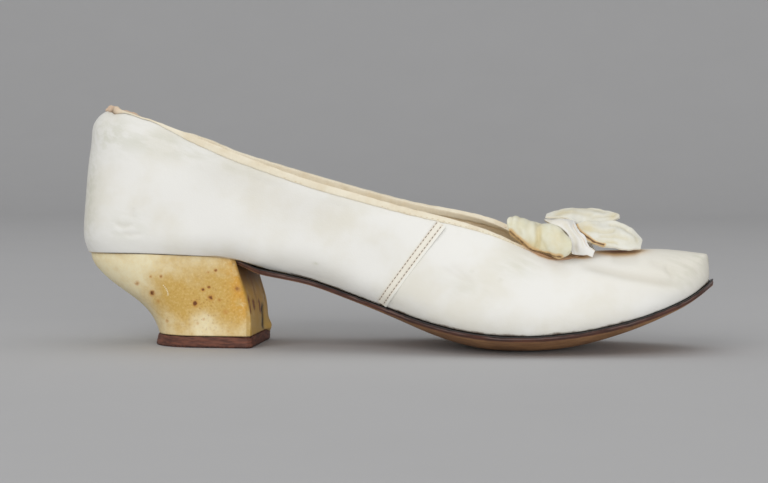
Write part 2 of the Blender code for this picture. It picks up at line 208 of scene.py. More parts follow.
def srgb(red, green, blue):  # a colour as the eye names it, 0 to 255
    shares = (red / 255, green / 255, blue / 255)
    return tuple(((c + 0.055) / 1.055) ** 2.4 if c > 0.04 else c / 12.92 for c in shares) + (1.0,)


class Wire:
    # one socket of a material; sums on it add Math nodes
    def __init__(self, tree, socket=None):
        self.tree = tree
        self.socket = socket

    def node(self, kind, settings=None, sockets=None, out=0):
        made = self.tree.nodes.new(kind)
        for key, value in (settings or {}).items():
            setattr(made, key, value)
        for key, value in (sockets or {}).items():
            if isinstance(value, Wire):
                self.tree.links.new(value.socket, made.inputs[key])
            else:
                made.inputs[key].default_value = value
        return Wire(self.tree, made.outputs[out])

    def sum(self, operation, first, second):
        return self.node("ShaderNodeMath", {"operation": operation}, {0: first, 1: second})

    def __add__(self, other):
        return self.sum("ADD", self, other)

    def __sub__(self, other):
        return self.sum("SUBTRACT", self, other)

    def __rsub__(self, other):
        return self.sum("SUBTRACT", other, self)

    def __mul__(self, other):
        return self.sum("MULTIPLY", self, other)

    def __pow__(self, other):
        return self.sum("POWER", self, other)


def newFinish(name, look):  # a material, its wiring, shader and coordinates, and the tones of its piece
    material = bpy.data.materials.new(name)
    material.use_nodes = True
    wire = Wire(material.node_tree)
    place = wire.node("ShaderNodeTexCoord", out="Object")
    tones = {tone: srgb(*colour) for tone, colour in look["tones"].items()}
    return material, wire, material.node_tree.nodes["Principled BSDF"], place, tones


def connect(wire, shader, socket):
    wire.tree.links.new(wire.socket, shader.inputs[socket])


def grainOf(place, size, detail=3):  # size of a speck in millimetres
    return place.node("ShaderNodeTexNoise", None,
                      {"Vector": place, "Scale": 1 / (size * mm), "Detail": detail, "Roughness": 0.55})


def painted(wire, name):
    return wire.node("ShaderNodeAttribute", {"attribute_name": name}, out="Fac")


def ease(value, low, high, to=(0, 1)):
    return value.node("ShaderNodeMapRange", {"interpolation_type": "SMOOTHSTEP"},
                      {"Value": value, "From Min": low, "From Max": high, "To Min": to[0], "To Max": to[1]})


def blendColour(share, first, second):
    return share.node("ShaderNodeMix", {"data_type": "RGBA"}, {0: share, 6: first, 7: second}, out=2)


def bumpOf(height, distance, strength):  # distance in millimetres
    return height.node("ShaderNodeBump", None,
                       {"Height": height, "Distance": distance * mm, "Strength": strength})


# camera, floor and light

viewOf = {
    "azimuth": 8.0, "elevation": 3.03,  # degrees round the shoe and above the floor
    "target": (115.63, 0.0, 39.36),     # along, side, height
    "distance": 700.0,
    "lens": 86.93,
}


def makeCamera():
    turn, lift = math.radians(viewOf["azimuth"]), math.radians(viewOf["elevation"])
    back = Vector((math.sin(turn) * math.cos(lift), -math.cos(turn) * math.cos(lift), math.sin(lift)))
    lens = bpy.data.cameras.new("camera")
    lens.lens = viewOf["lens"]
    lens.sensor_width = 36.0
    lens.clip_start = 0.01
    camera = bpy.data.objects.new("camera", lens)
    bpy.context.collection.objects.link(camera)
    camera.location = spot(*viewOf["target"]) + back * viewOf["distance"] * mm
    camera.rotation_mode = "QUATERNION"
    camera.rotation_quaternion = (-back).to_track_quat("-Z", "Y")
    bpy.context.scene.camera = camera


floorLook = {
    "size": 8.0, "back": 2.2, "wall": 3.0, "sweep": 1.0,  # metres
    "tones": {"paper": (186, 186, 187)},
}


def selectEdge(piece, ends):
    for edge in piece.data.edges:
        edge.select = set(edge.vertices) == set(ends)


def makeFloor():
    bpy.ops.object.select_all(action="DESELECT")
    bpy.ops.mesh.primitive_plane_add(size=floorLook["size"])
    floor = bpy.context.object
    floor.name = "floor"
    bpy.ops.object.mode_set(mode="EDIT")
    bpy.ops.transform.translate(value=(0, floorLook["back"] - floorLook["size"] / 2, 0))
    bpy.ops.mesh.select_mode(type="EDGE")
    bpy.ops.mesh.select_all(action="DESELECT")
    bpy.ops.object.mode_set(mode="OBJECT")
    far = [v.index for v in floor.data.vertices if v.co.y > 0]
    selectEdge(floor, far)
    bpy.ops.object.mode_set(mode="EDIT")
    bpy.ops.mesh.extrude_edges_move(TRANSFORM_OT_translate={"value": (0, 0, floorLook["wall"])})
    bpy.ops.object.mode_set(mode="OBJECT")
    selectEdge(floor, far)
    bpy.ops.object.mode_set(mode="EDIT")
    bpy.ops.mesh.bevel(offset=floorLook["sweep"], segments=24)
    bpy.ops.object.mode_set(mode="OBJECT")
    bpy.ops.object.shade_smooth()
    material, wire, shader, place, tones = newFinish("floorPaper", floorLook)
    dimmer = tuple(c * 0.96 for c in tones["paper"][:3]) + (1.0,)
    connect(blendColour(grainOf(place, 60, 4), tones["paper"], dimmer), shader, "Base Color")
    shader.inputs["Roughness"].default_value = 0.9
    floor.data.materials.append(material)


lampLook = {
    # place in metres, size of the soft box, watts, colour
    "key": ((-1.0, -2.1, 1.53), (2.2, 1.6), 22.8, (1.0, 0.995, 0.985)),
    "fill": ((1.0, -2.3, 0.41), (2.0, 0.8), 20.8, (1.0, 1.0, 1.0)),
    "top": ((0.05, 0.25, 1.25), (1.2, 0.7), 2.0, (1.0, 1.0, 1.0)),
    "room": 0.5,
    "aim": (119, 0, 30),  # along, side, height
}


def makeLights():
    for name in ("key", "fill", "top"):
        place, size, watts, colour = lampLook[name]
        light = bpy.data.lights.new(name, "AREA")
        light.shape = "RECTANGLE"
        light.size, light.size_y = size
        light.energy = watts
        light.color = colour
        lamp = bpy.data.objects.new(name, light)
        bpy.context.collection.objects.link(lamp)
        lamp.location = place
        lamp.rotation_mode = "QUATERNION"
        lamp.rotation_quaternion = (spot(*lampLook["aim"]) - Vector(place)).to_track_quat("-Z", "Y")
    world = bpy.data.worlds.new("room")
    world.use_nodes = True
    world.node_tree.nodes["Background"].inputs["Color"].default_value = (1.0, 1.0, 1.0, 1.0)
    world.node_tree.nodes["Background"].inputs["Strength"].default_value = lampLook["room"]
    bpy.context.scene.world = world
    bpy.context.scene.view_settings.view_transform = "Standard"


# sole and insole

soleLook = {
    "levels": 3,
    "groove": 0.16, "grooveAt": 0.62, "grooveWide": 0.2,  # line round the edge, below its top
    "treadAt": 163.0, "treadLong": 30.0,
    "tuck": 0.1,  # how much narrower it is under the heel leather
    "tones": {
        # the pale grey tone on the next line paints a highlight on the edge
        "edge": (58, 34, 28), "edgeLight": (86, 50, 38), "line": (20, 13, 13), "paintedHighlight": (140, 124, 118),
        "under": (184, 138, 94), "underShade": (150, 108, 72), "tread": (96, 68, 50),
    },
}


def soleFinish():
    material, wire, shader, place, tones = newFinish("soleLeather", soleLook)
    depth = painted(wire, "depth")  # millimetres below the top of the edge
    stretched = wire.node("ShaderNodeMapping", None, {"Vector": place, "Scale": (0.25, 1.0, 1.0)})
    streak = grainOf(stretched, 2.2, 5)
    cloud = grainOf(place, 18, 4)
    ragged = depth + (streak - 0.5) * 0.9
    edge = blendColour(ease(streak, 0.35, 0.65), tones["edge"], tones["edgeLight"])
    edge = blendColour(ease(ragged, 0.62, 0.22), edge, tones["line"])
    # a painted highlight: a pale line along the edge, just below its dark top line
    paintedHighlight = ease(ragged, 0.55, 0.8) * ease(ragged, 1.15, 0.9) * ease(cloud, 0.4, 0.6)
    edge = blendColour(paintedHighlight * 0.5, edge, tones["paintedHighlight"])
    under = blendColour(ease(cloud + (streak - 0.5) * 0.6, 0.35, 0.65), tones["under"], tones["underShade"])
    trodden = painted(wire, "tread") * ease(streak, 0.35, 0.6)
    under = blendColour(trodden, under, tones["tread"])
    colour = blendColour(ease(depth + (streak - 0.5) * 0.6, 1.6, 2.3), edge, under)
    connect(colour, shader, "Base Color")
    connect(ease(depth, 0.8, 2.4, (0.36, 0.66)), shader, "Roughness")
    connect(bumpOf(streak + grainOf(place, 0.7, 4) * 0.6, 0.1, 0.6), shader, "Normal")
    return material


def makeSole():
    sole = copyNode("outsole", "soleLeather")
    soften(sole, soleLook["levels"], 40, 0.95)
    points, normals, along, side, height = measure(sole)
    top = np.nonzero(normals[:, 2] > 0.85)[0]
    top = top[np.argsort(along[top])]
    depth = np.interp(along, along[top], height[top]) - height  # below the top of the edge
    rim = smooth(np.abs(normals[:, 2]), 0.75, 0.4) * smooth(along, 62, 70)
    groove = bell(depth - soleLook["grooveAt"], soleLook["grooveWide"]) * rim
    points = points - normals * (groove * soleLook["groove"] * mm)[:, None]
    points[:, 1] *= 1 - soleLook["tuck"] * smooth(along, 66, 59)  # goes in under the heel leather
    setPoints(sole, points)
    paint(sole, "depth", depth)
    tread = bell(along - soleLook["treadAt"], soleLook["treadLong"])
    paint(sole, "tread", tread * smooth(height, 1.6, 0.1))
    finishPiece(sole, ["outsole"], "sole", soleFinish())
    return sole


insoleLook = {
    "levels": 2,
    # where the foot pressed it: along, reach along, reach across
    "presses": [(165, 30, 22), (32, 22, 15)],
    "tones": {"cream": (236, 221, 188), "shade": (220, 200, 162), "tread": (188, 162, 126)},
}


def insoleFinish():
    material, wire, shader, place, tones = newFinish("insoleLeather", insoleLook)
    cloud = grainOf(place, 20, 5)
    colour = blendColour(ease(cloud, 0.35, 0.7), tones["cream"], tones["shade"])
    colour = blendColour(painted(wire, "tread") * 0.5, colour, tones["tread"])
    connect(colour, shader, "Base Color")
    shader.inputs["Roughness"].default_value = 0.66
    connect(bumpOf(grainOf(place, 0.8, 4), 0.06, 0.6), shader, "Normal")
    return material


def makeInsole():
    insole = copyNode("insole", "insoleLeather")
    soften(insole, insoleLook["levels"])
    along, side, height = shoeSizes(getPoints(insole))
    presses = [bell(along - at, long) * bell(side, wide) for at, long, wide in insoleLook["presses"]]
    paint(insole, "tread", np.max(presses, axis=0))
    finishPiece(insole, ["insole"], "insole", insoleFinish())


# heel

heelLook = {
    "levels": 3,
    # rust spots on the near side: along, height, radius, strength
    "spots": [
        (24.6, 24.0, 0.75, 0.75), (30.4, 26.6, 0.6, 0.7), (34.5, 26.8, 0.5, 0.7), (30.2, 20.4, 0.95, 1.0),
        (32.5, 17.2, 0.7, 0.6), (47.0, 16.7, 0.95, 1.15), (53.1, 19.1, 1.0, 0.95), (50.0, 21.9, 0.7, 0.9),
        (52.3, 22.8, 0.5, 0.75), (52.3, 28.3, 0.5, 0.65), (54.9, 29.1, 0.5, 0.75), (62.8, 22.4, 1.1, 0.75),
        (56.3, 18.1, 0.55, 0.65), (58.4, 13.5, 1.1, 0.55), (35.5, 9.7, 0.5, 0.6), (47.8, 9.3, 0.5, 0.5),
        (50.2, 10.6, 0.4, 0.5), (59.5, 6.4, 0.5, 0.5),
    ],
    # rust spots on the far side
    "farSpots": [
        (22.0, 27.0, 0.7, 0.7), (28.0, 21.5, 0.8, 0.9), (35.5, 25.0, 0.5, 0.7), (38.0, 14.0, 0.9, 1.0),
        (44.5, 21.0, 0.6, 0.8), (49.0, 27.5, 0.5, 0.6), (53.5, 15.5, 1.0, 0.9), (57.0, 24.0, 0.8, 0.8),
        (60.5, 11.0, 0.6, 0.6), (41.0, 8.5, 0.5, 0.6), (33.0, 30.0, 0.5, 0.6),
    ],
    "scratch": [
        (35.2, 23.4), (35.7, 22.8), (36.1, 22.2), (36.4, 21.6), (36.6, 21.0), (36.7, 20.4), (36.7, 19.8),
    ],
    # streaks down the breast: side, top and bottom height, half width, strength
    "streaks": [
        (-14.0, 20.0, 12.5, 1.6, 0.75), (-7.0, 17.5, 13.5, 2.2, 0.9), (-1.0, 27.0, 15.0, 2.0, 0.5),
        (2.5, 17.0, 11.5, 2.0, 0.85), (14.0, 24.0, 15.0, 1.6, 0.5),
    ],
    "slit": {"side": 7.3, "top": 14.5, "bottom": 5.0, "half": 2.4, "deep": 0.8},
    "fray": (15.5, 5.4, 2.6, 2.6), "frayLift": 1.8,  # side, height, radius across, radius up
    "shoulder": 2.9, "lean": 1.9,  # its front corners go up, its breast goes back
    "dents": 0.12,
    # golden patches: along, height, radius along, radius up, strength
    "gold": [(40, 19, 10.4, 8, 0.7), (60, 20, 9, 10.8, 0.6), (50, 8, 6, 6, -0.25)],
    "speckle": (52, 17, 16.5, 11),
    "tones": {
        "pale": (242, 231, 194), "gold": (206, 168, 88), "amber": (214, 158, 48), "shade": (112, 80, 46),
        "fleck": (238, 214, 150), "speckle": (166, 110, 54), "halo": (194, 130, 44), "rust": (112, 62, 18),
        "streak": (146, 88, 36), "gash": (20, 14, 11), "rim": (128, 92, 54), "scratch": (250, 242, 214),
        "wood": (190, 150, 104), "woodRing": (150, 108, 68),
    },
}


def spotsOn(first, second, spots, blur):  # soft discs on one side of a piece
    total = None
    for a, h, size, strength in spots:
        across, up = first - (heelBack + a * mm), second - h * mm
        away = (across * across + up * up) ** 0.5 + blur
        disc = ease(away, size * 2.3 * mm, 0.0, (0, strength))
        total = disc if total is None else total.sum("MAXIMUM", total, disc)
    return total


def streaksOn(first, second, streaks, blur):  # soft upright lines
    total = None
    for s, high, low, half, strength in streaks:
        across = first - s * mm
        away = across.sum("ABSOLUTE", across, 0.0) + blur
        line = ease(away, half * 1.4 * mm, half * 0.2 * mm, (0, strength))
        line = line * ease(second, (low - 1.5) * mm, (low + 1.5) * mm)
        line = line * ease(second, (high + 1.5) * mm, (high - 1.5) * mm)
        total = line if total is None else total.sum("MAXIMUM", total, line)
    return total


def heelFinish():
    material, wire, shader, place, tones = newFinish("heelLeather", heelLook)
    x, y, z = (wire.node("ShaderNodeSeparateXYZ", None, {0: place}, axis) for axis in "XYZ")
    cloud = grainOf(place, 9, 5)
    mottle = grainOf(place, 2.6, 4)
    fine = grainOf(place, 0.9, 3)
    breast = painted(wire, "breast")
    near = ease(y, 1.0 * mm, -1.0 * mm) * (1 - breast)
    far = ease(y, -1.0 * mm, 1.0 * mm) * (1 - breast)
    gold = painted(wire, "gold") + (cloud - 0.5) * 0.9 + (mottle - 0.5) * 0.5
    colour = blendColour(ease(gold, 0.0, 0.95), tones["pale"], tones["gold"])
    amber = painted(wire, "amber") * ease(mottle + (cloud - 0.5) * 0.5, 0.2, 0.6)
    colour = blendColour(amber, colour, tones["amber"])
    colour = blendColour(painted(wire, "shade") * 0.85, colour, tones["shade"])
    pale = ease(fine, 0.52, 0.32) * (1 - breast)
    colour = blendColour(pale * 0.28, colour, tones["fleck"])
    speckle = ease(fine, 0.58, 0.68) * painted(wire, "speckle")
    colour = blendColour(speckle * 0.55, colour, tones["speckle"])
    blur = (mottle - 0.5) * (2.2 * mm) + (fine - 0.5) * (0.7 * mm)
    fox = spotsOn(x, z, heelLook["spots"], blur) * near
    fox = fox + spotsOn(x, z, heelLook["farSpots"], blur) * far
    colour = blendColour(ease(fox, 0.05, 0.8) * 0.7, colour, tones["halo"])
    colour = blendColour(ease(fox, 0.5, 0.9), colour, tones["rust"])
    streak = streaksOn(y, z, heelLook["streaks"], blur * 2.0)
    streak = streak * breast * ease(mottle, 0.3, 0.6, (0.4, 1))
    colour = blendColour(ease(streak, 0.1, 0.7), colour, tones["streak"])
    slit = heelLook["slit"]
    cut = (slit["side"], slit["top"], slit["bottom"], slit["half"], 1.0)
    # the slit is painted near black: a painted shadow inside its cut
    gash = streaksOn(y, z, [cut], (fine - 0.5) * (0.8 * mm)) * breast
    colour = blendColour(gash, colour, tones["gash"])
    colour = blendColour(painted(wire, "rim"), colour, tones["rim"])
    scratch = spotsOn(x, z, [(a, h, 0.17, 0.9) for a, h in heelLook["scratch"]], 0.0) * near
    colour = blendColour(scratch, colour, tones["scratch"])
    connect(colour, shader, "Base Color")
    connect(mottle * 0.2 + 0.44, shader, "Roughness")
    connect(bumpOf(mottle + fine * 0.5 - scratch * 0.6 - gash, 0.07, 0.5), shader, "Normal")
    return material


def pullFront(points):  # the breast leans back under the sole
    along, side, height = shoeSizes(points)
    lean = smooth(height, 8, 31) * smooth(along, 54, 63)
    points[:, 0] -= lean * heelLook["lean"] * mm
    return points


def makeCover():
    cover = copyNode("heel_cover", "heelLeather")
    soften(cover, heelLook["levels"], 35, 1.0)
    subdivideFaces(cover, [face.normal.x > 0.8 for face in cover.data.polygons])
    points, normals, along, side, height = measure(cover)
    breast = smooth(normals[:, 0], 0.5, 0.85) * smooth(along, 62, 64)
    slit = heelLook["slit"]
    across = bell(side - slit["side"], slit["half"])
    gash = breast * across * smooth(height, slit["bottom"] - 0.4, slit["bottom"] + 1.5)
    gash = gash * smooth(height, slit["top"], slit["top"] - 2.5)
    torn = patch(side, height, *heelLook["fray"]) * smooth(along, 63, 66)
    dents = heelLook["dents"] * np.sin(side * 0.9 + height * 0.35) * breast
    move = dents - gash * slit["deep"] + torn * heelLook["frayLift"] * (0.6 + 0.4 * np.sin(side * 3.1))
    points = points + normals * (move * mm)[:, None]
    shoulder = smooth(along, 53, 61) * smooth(height, 26, 31) * smooth(np.abs(side), 15.5, 17.5)
    points[:, 2] += shoulder * heelLook["shoulder"] * mm  # its front corners reach the upper
    setPoints(cover, pullFront(points))
    paint(cover, "breast", breast)
    gold = 0.15 + 0.3 * smooth(along, 20, 45)
    for *oval, strength in heelLook["gold"]:
        gold += strength * patch(along, height, *oval)
    paint(cover, "gold", np.clip(gold, 0, 1) * (1 - breast) + 0.85 * breast)
    corner = bell(along - 66.0, 5.5) * (1 - breast) + 0.4 * breast
    paint(cover, "amber", np.clip(corner * smooth(height, 6, 17) * smooth(height, 37, 30), 0, 1))
    paint(cover, "speckle", patch(along, height, *heelLook["speckle"]))
    back = smooth(along, 36, 22) * smooth(height, 24, 8) * 0.5
    paint(cover, "shade", np.clip(breast * smooth(height, 19, 27) + back, 0, 1))
    paint(cover, "rim", np.clip(smooth(normals[:, 2], 0.5, 0.9) + smooth(height, 4.9, 4.5) * 0.4, 0, 1))
    finishPiece(cover, ["heel_cover"], "heel_leather", heelFinish())


def woodFinish():
    material, wire, shader, place, tones = newFinish("heelWood", heelLook)
    rings = wire.node("ShaderNodeTexWave", {"bands_direction": "Z"},
                      {"Vector": place, "Scale": 1 / (9 * mm), "Distortion": 3.0, "Detail": 3})
    connect(blendColour(rings, tones["wood"], tones["woodRing"]), shader, "Base Color")
    shader.inputs["Roughness"].default_value = 0.75
    return material


def makeBlock():
    block = copyNode("heel_block", "heelWood")
    setPoints(block, pullFront(getPoints(block)))
    finishPiece(block, ["heel_block"], "heel_wood", woodFinish())


topPieceLook = {
    "levels": 3, "ridges": 0.06, "chips": 0.12,
    "taper": 1.1,  # its back goes in at the top, to the leather
    "tones": {"dark": (78, 44, 34), "light": (120, 72, 54), "tread": (34, 22, 19)},
}


def topPieceFinish():
    material, wire, shader, place, tones = newFinish("topPieceLeather", topPieceLook)
    layered = wire.node("ShaderNodeMapping", None, {"Vector": place, "Scale": (0.2, 0.2, 1.0)})
    streak = grainOf(layered, 0.9, 5)
    fine = grainOf(place, 1.2, 4)
    colour = blendColour(ease(streak, 0.3, 0.7), tones["dark"], tones["light"])
    trodden = painted(wire, "tread") * ease(fine, 0.3, 0.7)
    colour = blendColour(trodden, colour, tones["tread"])
    connect(colour, shader, "Base Color")
    shader.inputs["Roughness"].default_value = 0.7
    connect(bumpOf(streak + fine * 0.6, 0.14, 0.8), shader, "Normal")
    return material


def makeTopPiece():
    plate = copyNode("heel_top_piece", "topPieceLeather")
    soften(plate, topPieceLook["levels"], 30, 1.0)
    points, normals, along, side, height = measure(plate)
    wall = smooth(np.abs(normals[:, 2]), 0.6, 0.2)
    ridges = np.sin(height * 4.6 + np.sin(along * 0.31) * 0.6) * wall
    chips = np.sin(along * 1.7 + side * 0.9) * np.sin(along * 0.73 - side * 1.3) * smooth(height, 3.0, 4.0)
    points[:, 2] += chips * topPieceLook["chips"] * mm
    taper = np.clip(height / 4.5, 0, 1) * smooth(along, 44, 30)
    points[:, 0] += taper * topPieceLook["taper"] * mm
    setPoints(plate, points + normals * (ridges * topPieceLook["ridges"] * mm)[:, None])
    paint(plate, "tread", smooth(height, 1.3, 0.2))
    finishPiece(plate, ["heel_top_piece"], "top_piece", topPieceFinish())


# upper with its creases

upperLook = {
    "levels": 2,
    "tones": {
        "clean": (238, 237, 232), "aged": (231, 228, 217), "grey": (206, 206, 188), "toe": (228, 224, 212),
        # the last three tones on the next line are painted crease shade and the painted shadow below the
        # bow, tan then brown
        "soil": (112, 92, 76), "fold": (196, 190, 174), "tan": (210, 176, 132), "paintedShadow": (138, 90, 46),
        "lining": (232, 217, 190), "liningShade": (208, 189, 158),
    },
    # creases on the side view: line of along and height, width, depth, ridge beside it, sides
    "creases": [
        ([(188, 32.9), (197, 31.0), (206, 28.9), (215, 27.2), (221, 25.9), (229, 24.9)],
         1.5, 0.62, 0.32, (-1,)),
        ([(200, 35.0), (206, 34.8), (212, 35.6)], 2.2, 0.30, 0.10, (-1, 1)),
        ([(220.7, 33.4), (221.4, 30.5), (222.9, 28.4), (224.3, 26.7)], 0.9, 0.26, 0.14, (-1,)),
        ([(227, 32.6), (231, 30.9), (233, 28.4)], 0.9, 0.20, 0.10, (-1,)),
        ([(214, 34.2), (219, 31.8), (226, 30.0)], 1.1, 0.18, 0.12, (-1,)),
        ([(17.4, 46.9), (21, 45.4), (25, 46.6)], 0.9, 0.24, 0.14, (-1,)),
        ([(20, 43.4), (24, 42.4), (29, 43.0)], 0.9, 0.18, 0.10, (-1,)),
        ([(26, 48.2), (24.6, 50.4), (25.4, 53.0)], 0.9, 0.18, 0.08, (-1,)),
        ([(140.5, 32.2), (145.8, 29.4), (151.0, 26.7)], 1.0, 0.16, 0.07, (-1,)),
        ([(143.8, 33.4), (149.0, 29.2), (153.8, 25.0)], 0.9, 0.14, 0.06, (-1,)),
        ([(72, 36), (92, 31), (112, 25)], 5.0, 0.22, 0.10, (-1, 1)),
        ([(44, 70), (76, 58), (110, 47)], 7.0, 0.20, 0.10, (-1, 1)),
        ([(189, 32.4), (199, 30.4), (209, 28.0), (222, 26.6)], 1.8, 0.50, 0.26, (1,)),
        ([(219, 33.0), (222, 29.6), (223.4, 27.0)], 1.0, 0.22, 0.12, (1,)),
        ([(19, 49.0), (24, 47.2), (29, 48.4)], 0.9, 0.16, 0.08, (1,)),
        ([(150, 27.0), (158, 23.6), (165, 21.6)], 1.2, 0.12, 0.06, (1,)),
    ],
    # smears: along, height, radius along, radius up, strength, sides
    "smears": [
        (14, 80, 12, 7, 0.55, (-1, 1)), (30, 77, 18, 4, 0.50, (-1, 1)), (47, 73, 12, 3, 0.45, (-1,)),
        (5, 60, 5, 24, 0.50, (-1, 1)), (22, 45, 10, 6, 0.30, (-1, 1)), (62, 68, 14, 3, 0.30, (-1,)),
        (228, 30, 9, 8, 0.40, (-1, 1)), (233, 34, 5, 3, 0.7, (-1, 1)), (150, 25, 9, 4, 0.22, (-1,)),
        (168, 33, 8, 5, 0.30, (-1,)), (93.8, 32.1, 0.9, 0.7, 1.2, (-1,)),
        (162.1, 27.6, 0.8, 0.8, 0.6, (-1,)), (151.8, 30.5, 0.8, 0.8, 0.3, (-1,)),
        (80, 47, 18, 9, 0.22, (1,)), (175, 24, 16, 8, 0.25, (1,)),
    ],
    # painted shadow below the bow, brown: along, height, radius along, radius up, strength
    "paintedShadows": [(203, 37.4, 8.5, 1.7, 1.2), (190, 35.2, 3.5, 0.9, 0.8)],
    "paintedShadowWide": 0.8, "paintedShadowShare": 0.9,
    "paintedShadowLine": [  # a painted shadow line below the near loop
        (168.1, 41.8), (170.4, 39.6), (172.8, 37.8), (175.6, 36.2), (178.8, 35.1), (182.0, 34.7),
        (185.6, 34.8),
    ],
    "pinch": {"along": 235.4, "height": 34.6, "reach": 3.0, "out": 0.6, "up": 0.1},  # worn tip of the toe
    "unevenness": 0.08,
}


def kidFinish():
    material, wire, shader, place, tones = newFinish("whiteKid", upperLook)
    cloud = grainOf(place, 26, 4)
    fine = grainOf(place, 5, 3)
    colour = blendColour(ease(cloud, 0.42, 0.7), tones["clean"], tones["aged"])
    colour = blendColour(painted(wire, "toeTint"), colour, tones["toe"])
    drawn = wire.node("ShaderNodeMapping", {"vector_type": "TEXTURE"},  # drawn out along the collar
                      {"Vector": place, "Rotation": (0.0, 0.35, 0.0), "Scale": (4.0, 1.0, 1.0)})
    smear = painted(wire, "grey") * ease(grainOf(drawn, 2.4, 5), 0.38, 0.64, (0.2, 1))
    colour = blendColour(smear, colour, tones["grey"])
    # painted shade in the creases
    colour = blendColour(painted(wire, "fold"), colour, tones["fold"])
    # painted shadow below the bow: tan at its edge, brown in its middle
    shadowShare = painted(wire, "paintedShadow") * ease(fine, 0.2, 0.5, (0.8, 1))
    colour = blendColour(ease(shadowShare, 0.0, 0.5), colour, tones["tan"])
    colour = blendColour(ease(shadowShare, 0.35, 0.95), colour, tones["paintedShadow"])
    ragged = painted(wire, "soleGap") + (fine - 0.5) * 1.4
    colour = blendColour(ease(ragged, 1.1, 0.45), colour, tones["soil"])
    connect(colour, shader, "Base Color")
    pores = wire.node("ShaderNodeTexVoronoi", None, {"Vector": place, "Scale": 1 / (0.55 * mm)})
    grain = grainOf(place, 0.9, 4)
    connect(grain * 0.14 + 0.46, shader, "Roughness")
    connect(bumpOf(pores * 0.5 + grain + cloud * 2, 0.05, 0.5), shader, "Normal")
    shader.inputs["Specular IOR Level"].default_value = 0.2
    return material


def liningFinish():
    material, wire, shader, place, tones = newFinish("liningLinen", upperLook)
    threads = [wire.node("ShaderNodeTexWave", {"bands_direction": way, "wave_profile": "SIN"},
                         {"Vector": place, "Scale": 1 / (3.4 * mm), "Distortion": 1.2, "Detail": 2})
               for way in ("X", "Z")]
    cloud = grainOf(place, 14, 4)
    colour = blendColour(ease(cloud, 0.35, 0.7), tones["lining"], tones["liningShade"])
    connect(colour, shader, "Base Color")
    shader.inputs["Roughness"].default_value = 0.85
    connect(bumpOf(threads[0] + threads[1], 0.06, 0.6), shader, "Normal")
    return material


collarLook = {
    # how far the top edge goes up at a place along the shoe
    "near": [
        (8, 0.3), (14, 0.6), (19, 1.5), (24, 2.3), (31, 2.3), (38, 1.6), (45, 1.2), (53, 0.9), (62, 0.4),
        (76, 0),
    ],
    "far": [(10, 0), (16, -0.5), (20, -1.0), (24, -1.0), (30, -0.3), (36, 0.4), (45, 0.6), (55, 0)],
    "shoulder": 1.4, "shoulderAt": 84.5, "shoulderTall": 5.5,  # goes out at the back, below the top edge
    "dip": 0.8,                                                # goes in again at the top edge
}


def raiseCollar(points):  # the worn top edge behind the ankle
    along, side, height = shoeSizes(points)
    near = smooth(side, 3, -3)
    nearRise, farRise = (np.interp(along, *zip(*collarLook[label])) for label in ("near", "far"))
    rise = near * nearRise + (1 - near) * farRise
    points[:, 2] += rise * smooth(height, 56, 76) * mm
    back = bell(height - collarLook["shoulderAt"], collarLook["shoulderTall"]) * smooth(height, 89.5, 86.0)
    points[:, 0] -= collarLook["shoulder"] * back * smooth(along, 18, 5) * mm
    points[:, 0] += collarLook["dip"] * smooth(height, 86.5, 89.0) * smooth(along, 18, 8) * mm
    return points


def outwardOf(points, normals):  # 1 on the outer face of the upper, -1 on its lining
    centre = points.copy()
    centre[:, 0] = np.clip(centre[:, 0], heelBack + 28 * mm, heelBack + 212 * mm)
    centre[:, 1] = 0
    centre[:, 2] *= 0.72
    return np.where(np.sum(normals * (points - centre), axis=1) > 0, 1.0, -1.0)


